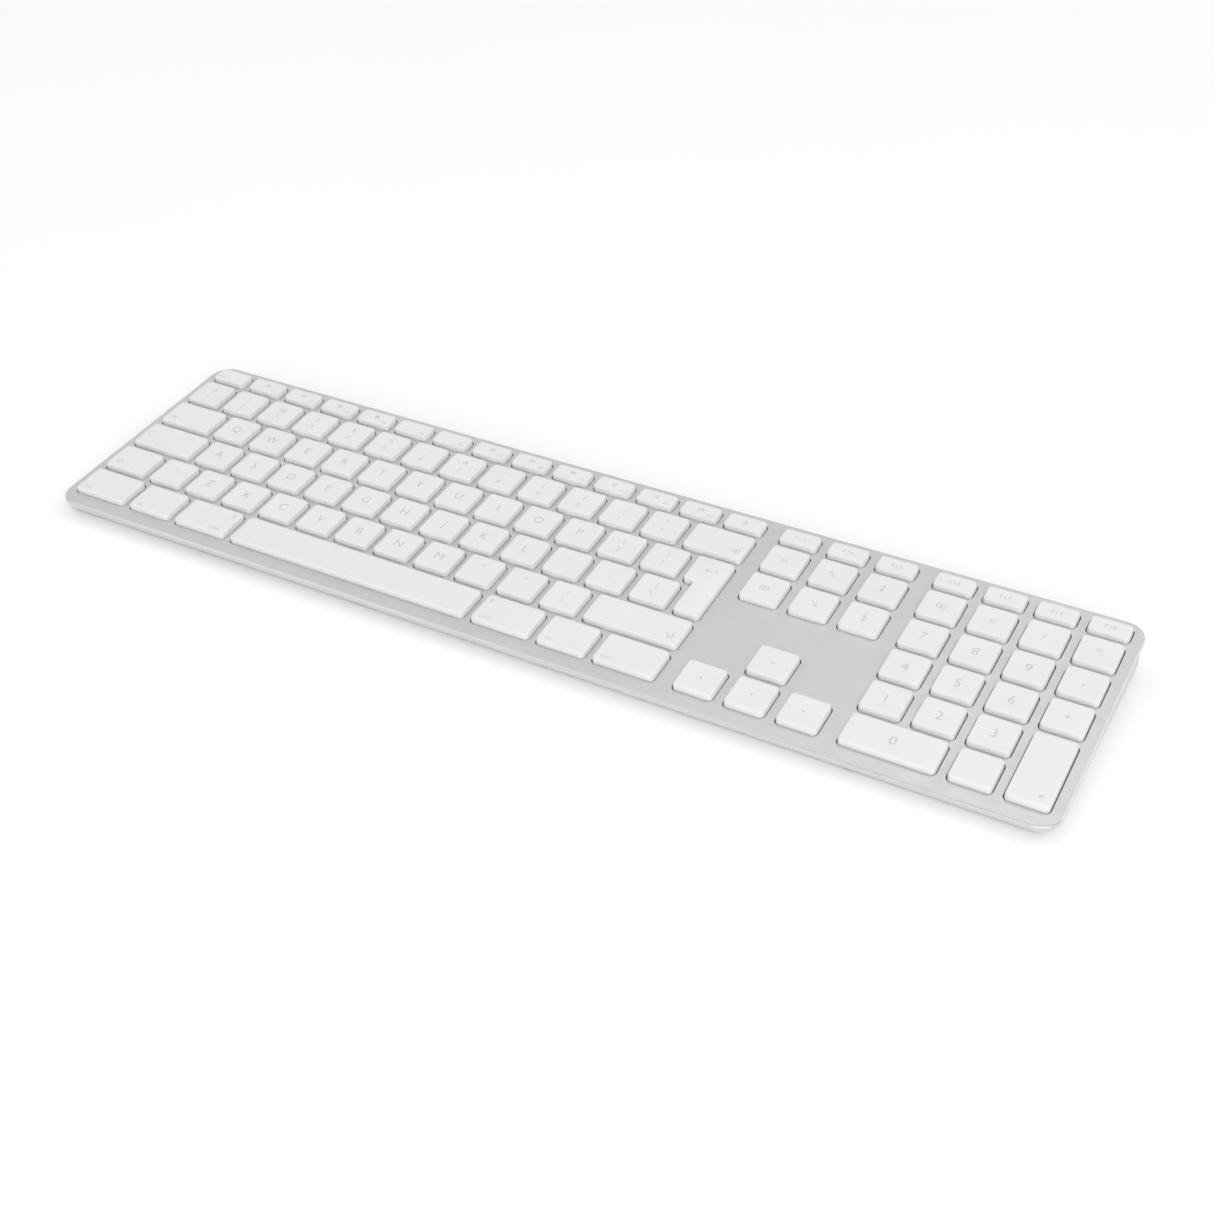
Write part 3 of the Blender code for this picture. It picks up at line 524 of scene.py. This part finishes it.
# The symbol of each key: (shape, x, y, size)
MARKS = {
    "tab": ("tab", -8.6, -3.6, 1.5), "caps_lock": ("caps", -11.4, 1.0, 1.4),
    "shift_left": ("shift", -5.6, -3.0, 1.6),
    "shift_right": ("shift", 15.2, -2.6, 1.7), "return": ("return", 0.6, 9.5, 2.2),
    "delete": ("delete", 8.4, -2.8, 1.6),
    "command_left": ("mark", 9.8, 4.2, 1.2), "command_right": ("mark", -9.8, 4.2, 1.2),
    "home": ("home", 0, 0, 2.0), "end": ("end", 0, 0, 2.0), "page_up": ("page_up", 0, 0, 2.1),
    "page_down": ("page_down", 0, 0, 2.1), "forward_delete": ("forward", 0, 0, 1.8),
    "pad_clear": ("clear", 0, 0, 1.9),
    "pad_enter": ("enter", 3.6, -13.0, 1.3), "eject": ("eject", 0, 0, 1.3),
    "f1": ("sun", 0, 0.6, 1.1), "f2": ("sun", 0, 0.6, 1.4), "f3": ("windows", 0, 0.6, 1.3),
    "f4": ("grid", 0, 0.6, 1.2), "f7": ("back", 0, 0.6, 1.3), "f8": ("play", 0, 0.6, 1.3),
    "f9": ("next", 0, 0.6, 1.3),
    "f10": ("speaker", 0, 0.6, 1.2), "f11": ("speaker", 0, 0.6, 1.3), "f12": ("louder", 0, 0.6, 1.3),
}
MARKS.update((arrow, (arrow, 0, 0, 0.9)) for arrow in FILLED)
INK_RISE, LAYER_RISE = 0.014, 0.002     # ink above the cap, and each stroke of a symbol above the one before
HALF_STROKE, MITRE_LIMIT = 0.16, 0.45
# The built-in font's height of a capital and the thinning of its outline, as shares of its size
FONT_CAPITAL, FONT_THINNING = 0.7, -0.006

glyph_cache = {}


def glyph(text):
    """Flat outline mesh of a text centred on the origin, capitals 1 high: (points, faces)."""
    if text not in glyph_cache:
        curve = bpy.data.curves.new("glyph", 'FONT')
        curve.body = text
        curve.size = 1.0
        curve.offset = FONT_THINNING
        curve.resolution_u = 3
        obj = bpy.data.objects.new("glyph", curve)
        bpy.context.scene.collection.objects.link(obj)
        mesh = obj.to_mesh()
        points = [(v.co.x, v.co.y) for v in mesh.vertices]
        faces = [tuple(p.vertices) for p in mesh.polygons]
        obj.to_mesh_clear()
        bpy.data.objects.remove(obj, do_unlink=True)
        middle = 0.5 * (min(x for x, _ in points) + max(x for x, _ in points))
        size = FONT_CAPITAL
        glyph_cache[text] = ([((x - middle) / size, (y - 0.5 * size) / size) for x, y in points], faces)
    return glyph_cache[text]


def write_text(bm, key, text, dx, dy, height):
    points, faces = glyph(text)
    verts = []
    for px, py in points:
        x, y = key.cx + dx + px * height, key.cy + dy + py * height
        verts.append(bm.verts.new((x * MM, y * MM, (key.top(x, y) + INK_RISE) * MM)))
    for face in faces:
        bm.faces.new([verts[i] for i in face])


def draw_stroke(bm, key, line, dx, dy, size, layer):
    """Ribbon along a polyline with mitred joints."""
    points = [Vector((key.cx + dx + x * size, key.cy + dy + y * size)) for x, y in line]
    closed = (points[0] - points[-1]).length < 1e-6
    left, right = [], []
    for k, point in enumerate(points):
        before = points[k - 1] if k else (points[-2] if closed else None)
        after = points[k + 1] if k + 1 < len(points) else (points[1] if closed else None)
        d0 = (point - before).normalized() if before is not None else (after - point).normalized()
        d1 = (after - point).normalized() if after is not None else d0
        n0, n1 = Vector((-d0.y, d0.x)), Vector((-d1.y, d1.x))
        mitre = (n0 + n1).normalized()
        mitre *= HALF_STROKE / max(MITRE_LIMIT, mitre.dot(n0))
        for side, sign in ((left, 1.0), (right, -1.0)):
            p = point + mitre * sign
            height = key.top(p.x, p.y) + INK_RISE + LAYER_RISE * layer
            side.append(bm.verts.new((p.x * MM, p.y * MM, height * MM)))
    for k in range(len(points) - 1):
        bm.faces.new((right[k], right[k + 1], left[k + 1], left[k]))


for key in KEYS:
    entries = TEXT.get(key.name, ())
    mark = MARKS.get(key.name)
    if not entries and not mark:
        continue
    bm = bmesh.new()
    for text, dx, dy, height in entries:
        write_text(bm, key, text, dx, dy, height)
    if mark:
        shape, dx, dy, size = mark
        if shape in FILLED:
            corners = SHAPES[shape][0]
            spots = [(key.cx + dx + x * size, key.cy + dy + y * size) for x, y in corners]
            bm.faces.new([bm.verts.new((x * MM, y * MM, (key.top(x, y) + INK_RISE) * MM)) for x, y in spots])
        else:
            for layer, line in enumerate(SHAPES[shape]):
                draw_stroke(bm, key, line, dx, dy, size, layer)
    bmesh.ops.recalc_face_normals(bm, faces=bm.faces)
    for face in bm.faces:
        face.normal_update()
        if face.normal.z < 0.0:
            face.normal_flip()
    legend = new_object("legend_" + key.name, bm, DECK)
    finish_piece(legend, LEGEND, key.body)

# ---------------------------------------------------------------- aluminium deck

RIM_ANGLES = (90, 67.5, 45, 22.5, 0)
SKIRT_CHAMFER, SKIRT_ROOF = 0.12, -0.3
# A key's opening from below the sheet upwards, its top edge rounded in two facets
OPENING_STEPS = ((0.0, -1.8), (0.0, -0.18), (-0.053, -0.053), (-0.25, 0.07))

case_outline = rounded(CASE_X0, CASE_Y0, CASE_X1, CASE_Y1, CASE_RADIUS, 16)
rounding = [(inset(case_outline, RIM * (1.0 - math.cos(a))), -RIM * (1.0 - math.sin(a)))
            for a in [math.radians(d) for d in RIM_ANGLES]]
inner_outline = inset(case_outline, RIM)
bm = bmesh.new()
loft(bm, [(inner_outline, 0.0), (inner_outline, -DECK_THICKNESS)])
deck = new_object("deck_sheet", bm, DECK)
carve(deck, [rings_from(key.outline(HOLE_MARGIN), OPENING_STEPS) for key in KEYS])
finish_piece(deck, ALUMINIUM, "case", ["top_case"], sharp=24.0)

# Rounded rim and skirt, a closed ring around the sheet, in the deck's aluminium painted lighter: a painted
# highlight along the edge
skirt = rings_from(case_outline, ((0.0, -SKIRT_DEPTH + SKIRT_CHAMFER), (SKIRT_CHAMFER, -SKIRT_DEPTH),
                                  (SKIRT_WALL, -SKIRT_DEPTH), (SKIRT_WALL, SKIRT_ROOF)))
bm = bmesh.new()
loft(bm, rounding + skirt + rounding[:1], close=False)
bmesh.ops.remove_doubles(bm, verts=bm.verts, dist=0.000001)
finish_piece(new_object("deck_rim", bm, DECK), RIM_HIGHLIGHT, "case", sharp=24.0)

# ---------------------------------------------------------------- lower cover

# Screws: place, and whether in the rear row.  The head rests on the seat; seat to tip is the screw's length
SCREWS = (("front_left", 70.0, -3.4, False), ("front_right", 350.0, -3.4, False),
          ("rear_left", 276.8, 97.0, True), ("rear_right", 340.2, 97.0, True))
FRONT_SEAT, REAR_SEAT, FRONT_TIP, REAR_TIP = -4.4, -10.2, -1.6, -1.9
HEAD_BORE, THREAD_BORE, BORE_BOTTOM, BORE_TOP = 1.85, 1.1, -20.0, -2.0
BOSS_RADIUS, BOSS_BASE, BOSS_TOP = 3.0, 0.6, -5.1
FEET = (("front_left", 14.0, 9.0), ("front_right", 405.5, 9.0), ("rear_left", 14.0, 94.0),
        ("rear_right", 405.5, 94.0))
FOOT_RADIUS, RECESS_GAP = 5.0, 0.3
RECESS_STEPS = ((-RECESS_GAP, FOOT_HEIGHT - 1.0), (-RECESS_GAP, FOOT_HEIGHT - 0.1), (0.0, FOOT_HEIGHT + 0.2),
                (0.0, FOOT_HEIGHT + 0.5))
SOCKET_X, SLIDER_X, LIGHT_X = 212.0, 178.0, 191.5
SOCKET_HEIGHT, SLIDER_Z, SLIDER_TRAVEL = 7.45, -9.2, 4.0
BELLY_ANGLES = (90, 75, 60, 45, 30, 15, 0)
LIP_STEPS = ((0.0, -SKIRT_DEPTH - 0.35), (0.15, -SKIRT_DEPTH - 0.2))
LAYER_ROOM, LAYER_CORNER, LAYER_OVERLAP = (-1.2, -1.9, 420.5, 102.0), 4.0, 0.5
BAY_SPANS = ((2.0, 112.0), (114.0, 306.0), (308.0, 417.0))
BAY_Y0, BAY_Y1, BAY_CORNER, BAY_OVERLAP = 20.0, 101.99, 2.0, 0.6
MOUTH_STEPS = ((0.0, -4.0), (0.0, -0.15), (-0.3, 0.15), (-0.3, 3.0))
SLOT_STEPS = ((0.0, -3.0), (0.0, -0.2), (-0.25, 0.05), (-0.25, 2.0))

FACE_BACK = Matrix.Rotation(-math.pi / 2.0, 4, 'X')


def on_rear_wall(x, z):
    """Frame on the rear wall: x right, y down the wall, z out of it."""
    return DECK @ Matrix.Translation((x * MM, WALL_OUT * MM, z * MM)) @ FACE_BACK


socket_y = ORIGIN.y + WALL_OUT * COS - deck_z(WALL_OUT, SOCKET_HEIGHT) * SIN
AT_SOCKET = Matrix.Translation(Vector((SOCKET_X + ORIGIN.x, socket_y, SOCKET_HEIGHT)) * MM) @ FACE_BACK
AT_SLIDER = on_rear_wall(SLIDER_X, SLIDER_Z)
AT_LIGHT = on_rear_wall(LIGHT_X, SLIDER_Z)


def above_desk(height):
    return lambda x, y: deck_z(y, height)


cover_outline = inset(case_outline, COVER_INSET)
belly = []
for degrees in BELLY_ANGLES:
    a = math.radians(degrees)
    belly.append((inset(cover_outline, BELLY_INSET * (1.0 - math.cos(a))),
                  above_desk(FOOT_HEIGHT + BELLY_RISE * (1.0 - math.sin(a)))))
bm = bmesh.new()
loft(bm, belly + rings_from(cover_outline, LIP_STEPS))
cover = new_object("cover_tray", bm, DECK)

corner = CASE_RADIUS - COVER_INSET - COVER_WALL
rim_cavity = rounded(CASE_X0 + COVER_INSET + COVER_WALL, CASE_Y0 + COVER_INSET + COVER_WALL,
                     CASE_X1 - COVER_INSET - COVER_WALL, WALL_IN, corner, 8)
layer_cavity = rounded(*LAYER_ROOM, LAYER_CORNER, 4)
carve(cover, [[(rim_cavity, RIM_FLOOR), (rim_cavity, 0.0)]])
carve(cover, [[(layer_cavity, TRAY_FLOOR), (layer_cavity, RIM_FLOOR + LAYER_OVERLAP)]])
bays = [rounded(x0, BAY_Y0, x1, BAY_Y1, BAY_CORNER, 4) for x0, x1 in BAY_SPANS]
bay_floor = above_desk(FOOT_HEIGHT + COVER_FLOOR)
carve(cover, [[(bay, bay_floor), (bay, TRAY_FLOOR + BAY_OVERLAP)] for bay in bays])
bosses = [circle(BOSS_RADIUS, 24, x, y) for _, x, y, rear in SCREWS if rear]
carve(cover, [[(boss, above_desk(FOOT_HEIGHT + BOSS_BASE)), (boss, BOSS_TOP)] for boss in bosses], 'UNION')
screw_holes = []
for _, x, y, rear in SCREWS:
    seat = REAR_SEAT if rear else FRONT_SEAT
    head, thread = circle(HEAD_BORE, 32, x, y), circle(THREAD_BORE, 32, x, y)
    screw_holes.append([(head, BORE_BOTTOM), (head, seat), (thread, seat), (thread, BORE_TOP)])
carve(cover, screw_holes)

carve(cover, [rings_from(centred(4.85, 2.0, 1.9, 8), MOUTH_STEPS)], matrix=AT_SOCKET)
slider_slot = rounded(-1.9, -1.3, 1.9 + SLIDER_TRAVEL, 1.3, 0.5, 5)
carve(cover, [rings_from(slider_slot, SLOT_STEPS)], matrix=AT_SLIDER)
carve(cover, [rings_from(circle(1.3, 32), SLOT_STEPS)], matrix=AT_LIGHT)
recesses = [circle(FOOT_RADIUS + RECESS_GAP, 48, x + ORIGIN.x, y * COS + ORIGIN.y) for _, x, y in FEET]
carve(cover, [rings_from(recess, RECESS_STEPS) for recess in recesses], matrix=Matrix.Identity(4))
# The cover's grey is painted shade under the skirt's overhang
finish_piece(cover, SHADED_COVER, "case", ["lower_cover"], sharp=30.0)

# ---------------------------------------------------------------- feet and screws

FOOT_PROFILE = ((0.5, 0.14), (1.7, 0.14), (1.95, 0.0), (3.1, 0.0), (3.3, 0.14), (3.7, 0.14), (3.9, 0.0),
                (4.5, 0.0), (4.75, 0.05), (4.92, 0.17), (5.0, 0.35), (5.0, 0.8))
for label, x, y in FEET:
    wx, wy = x + ORIGIN.x, y * COS + ORIGIN.y
    solid("rubber_foot_" + label, [[(circle(r, 48, wx, wy), z) for r, z in FOOT_PROFILE]], RUBBER, "case",
          ["foot_" + label], Matrix.Identity(4))

HEAD_PROFILE = ((0.6, -1.0), (1.2, -1.0), (1.38, -0.95), (1.47, -0.84), (1.5, -0.68), (1.5, -0.1),
                (1.42, 0.0), (0.8, 0.0))
HEAD_SINK = 0.15
THREAD_RADIUS, THREAD_PITCH, THREAD_DEPTH = 0.8, 0.35, 0.16
THREAD_START, PLAIN_LENGTH, TIP_RADIUS = 0.2, 0.5, 0.45
# Cross recess in the head: half sizes of the two arms, and how they narrow towards the bottom
ARMS, ARM_TAPER, ARM_FLOOR = ((0.85, 0.17), (0.17, 0.85)), 0.45, 0.08
for label, x, y, rear in SCREWS:
    seat = REAR_SEAT if rear else FRONT_SEAT
    length = (REAR_TIP if rear else FRONT_TIP) - seat
    profile = list(HEAD_PROFILE)
    for turn_index in range(int((length - PLAIN_LENGTH) / THREAD_PITCH)):
        z = THREAD_START + turn_index * THREAD_PITCH
        profile += [(THREAD_RADIUS, z), (THREAD_RADIUS - THREAD_DEPTH, z + 0.5 * THREAD_PITCH)]
    profile.append((TIP_RADIUS, length))
    at = DECK @ Matrix.Translation((x * MM, y * MM, (seat - HEAD_SINK) * MM))
    screw = solid("machine_screw_" + label, [[(circle(r, 32), z) for r, z in profile]], SCREW, "case",
                  ["screw_" + label], at)
    for ax, ay in ARMS:
        arm = centred(ax, ay, 0.06, 2)
        arm_bottom = centred(ax * ARM_TAPER + ARM_FLOOR, ay * ARM_TAPER + ARM_FLOOR, 0.05, 2)
        carve(screw, [[(arm, -1.2), (arm, -0.95), (arm_bottom, -0.4)]], matrix=at)
    finish_piece(screw, SCREW, "case", sharp=30.0)

# ---------------------------------------------------------------- rear wall: socket, slider and light

shell, bore = centred(4.5, 1.65, 1.6, 8), centred(4.15, 1.3, 1.25, 8)
shell_rings = rings_from(shell, ((0.0, -7.5), (0.0, -0.45), (0.1, -0.3), (0.22, -0.3)))
shell_rings += [(bore, -0.5), (bore, -6.8)]
solid("socket_shell", [shell_rings], TIN, "case", ["usb_socket"], AT_SOCKET)
TONGUE_FACE, CONTACT_FACE = 0.35, 0.38
CONTACTS, CONTACT_PITCH, CONTACT_START, CONTACT_HALF = 12, 0.5, -2.75, 0.13
tongue = centred(3.3, TONGUE_FACE, 0.3, 5)
tongue_rings = rings_from(tongue, ((0.0, -6.85), (0.0, -1.85), (0.08, -1.68), (0.2, -1.6)))
solid("socket_tongue", [tongue_rings], BLACK, "case", matrix=AT_SOCKET)
contacts = []
for index in range(CONTACTS):
    x = CONTACT_START + CONTACT_PITCH * index
    for low, high in ((-CONTACT_FACE, -TONGUE_FACE), (TONGUE_FACE, CONTACT_FACE)):
        lane = rounded(x - CONTACT_HALF, low, x + CONTACT_HALF, high, 0.01, 1)
        contacts.append([(lane, -6.6), (lane, -2.2)])
solid("socket_contacts", contacts, GOLD, "case", matrix=AT_SOCKET)

flange, knob = centred(2.8, 2.2, 0.4, 3), centred(1.6, 1.0, 0.35, 5)
knob_rings = rings_from(knob, ((0.0, -1.9), (0.0, -0.5), (0.06, -0.3), (0.2, -0.2)))
slider = solid("slider_knob", [[(flange, -2.7), (flange, -1.9)] + knob_rings], BLACK, "power_slider_body",
               ["power_slider"], AT_SLIDER)
GROOVES, GROOVE_PITCH, GROOVE_REACH = 5, 0.5, 1.2
grooves = []
for index in range(GROOVES):
    x = -0.5 * (GROOVES - 1) * GROOVE_PITCH + GROOVE_PITCH * index
    grooves.append([(rounded(x - half, -GROOVE_REACH, x + half, GROOVE_REACH, 0.02, 1), z)
                    for half, z in ((0.04, -0.48), (0.15, -0.1))])
carve(slider, grooves, matrix=AT_SLIDER)
finish_piece(slider, BLACK, "power_slider_body", sharp=30.0)

LENS_SHOULDER, LENS_RISE, LENS_TIP = -0.6, 0.4, 0.05
angles = [math.radians(degrees) for degrees in (0, 15, 30, 45, 60, 75, 88)]
dome = [(circle(max(LENS_TIP, math.cos(a)), 32), LENS_SHOULDER + LENS_RISE * math.sin(a)) for a in angles]
solid("light_lens", [[(circle(1.0, 32), -5.5)] + dome], WINDOW, "case", ["status_light_pipe"],
      AT_LIGHT, sharp=50.0)

# ---------------------------------------------------------------- carried-over inner layers

INNER = {"key_support_plate": SCREW, "membrane_sheet": FILM, "membrane_tail": FILM, "dome_sheet": DOMES,
         "main_circuit_board": BOARD, "battery_cell": FOIL, "slide_switch_body": TIN}
for name, material in INNER.items():
    frame["nodes"][name].data.materials.clear()
    frame["nodes"][name].data.materials.append(material)

# ---------------------------------------------------------------- floor, light and camera

# Floor and lights are in metres, watts and degrees
FLOOR_HALF = 4.0
STUDIO_STRENGTH = 0.475
LIGHT_DISTANCE, LIGHT_SIZE = 3.0, 1.5

bm = bmesh.new()
bmesh.ops.create_grid(bm, x_segments=8, y_segments=8, size=FLOOR_HALF)
floor = new_object("floor", bm, Matrix.Identity(4))
floor.data.materials.append(surface("pale_floor", (0.93, 0.93, 0.93), (0.94, 0.94, 0.94), (0.85, 0.9),
                                    grain=300.0, depth=0.00001, blotch=3.0))

world = bpy.data.worlds.new("studio")
bpy.context.scene.world = world
world.use_nodes = True
background = world.node_tree.nodes["Background"]
background.inputs["Color"].default_value = (1.0, 1.0, 1.0, 1.0)
background.inputs["Strength"].default_value = STUDIO_STRENGTH


def softbox(name, bearing, height, watts, distance=LIGHT_DISTANCE, size=LIGHT_SIZE, target=(0.0, 0.0, 0.0)):
    """Square soft light; bearing is degrees clockwise from the back, height degrees above the desk."""
    light = bpy.data.lights.new(name, 'AREA')
    light.shape = 'RECTANGLE'
    light.size, light.size_y = size, size
    light.energy = watts
    obj = bpy.data.objects.new(name, light)
    bpy.context.scene.collection.objects.link(obj)
    a, e = math.radians(bearing), math.radians(height)
    away = Vector((math.sin(a) * math.cos(e), math.cos(a) * math.cos(e), math.sin(e)))
    obj.location = Vector(target) + away * distance
    obj.rotation_euler = away.to_track_quat('Z', 'Y').to_euler()


softbox("key_front_right", 135.0, 32.0, 34.0)
softbox("low_front", 165.0, 20.0, 21.0)
softbox("low_front_left", 225.0, 20.0, 9.0)
softbox("rear_right", 45.0, 32.0, 14.5)
softbox("rear_high", 0.0, 60.0, 11.5)
softbox("left_high", 270.0, 60.0, 13.5)
softbox("rear_left", 315.0, 32.0, 4.5)
softbox("near_right", 146.0, 36.5, 0.4, 0.67, 0.3, (0.17, 0.0, 0.0))

# The view is given in the deck's frame: azimuth, elevation and roll about the aim point; clip in metres
VIEW_AZIMUTH, VIEW_ELEVATION, VIEW_ROLL = 30.632, 40.214, -3.336
VIEW_TARGET, VIEW_DISTANCE = (238.255, 29.101, 0.0), 658.51
VIEW_LENS, SENSOR_WIDTH, CLIP_START = 51.51, 36.0, 0.01
azimuth, elevation = math.radians(VIEW_AZIMUTH), math.radians(VIEW_ELEVATION)
back = Vector((math.sin(azimuth) * math.cos(elevation), -math.cos(azimuth) * math.cos(elevation),
               math.sin(elevation)))
right = Vector((0.0, 0.0, 1.0)).cross(back).normalized()
up = back.cross(right)
turn = Matrix((right, up, back)).transposed().to_4x4() @ Matrix.Rotation(math.radians(VIEW_ROLL), 4, 'Z')
camera = bpy.data.objects.new("camera", bpy.data.cameras.new("camera"))
bpy.context.scene.collection.objects.link(camera)
camera.data.lens = VIEW_LENS
camera.data.sensor_width = SENSOR_WIDTH
camera.data.clip_start = CLIP_START
place = Matrix.Translation((Vector(VIEW_TARGET) + back * VIEW_DISTANCE) * MM)
camera.matrix_world = DECK @ place @ turn
bpy.context.scene.camera = camera
bpy.context.scene.view_settings.view_transform = 'Standard'
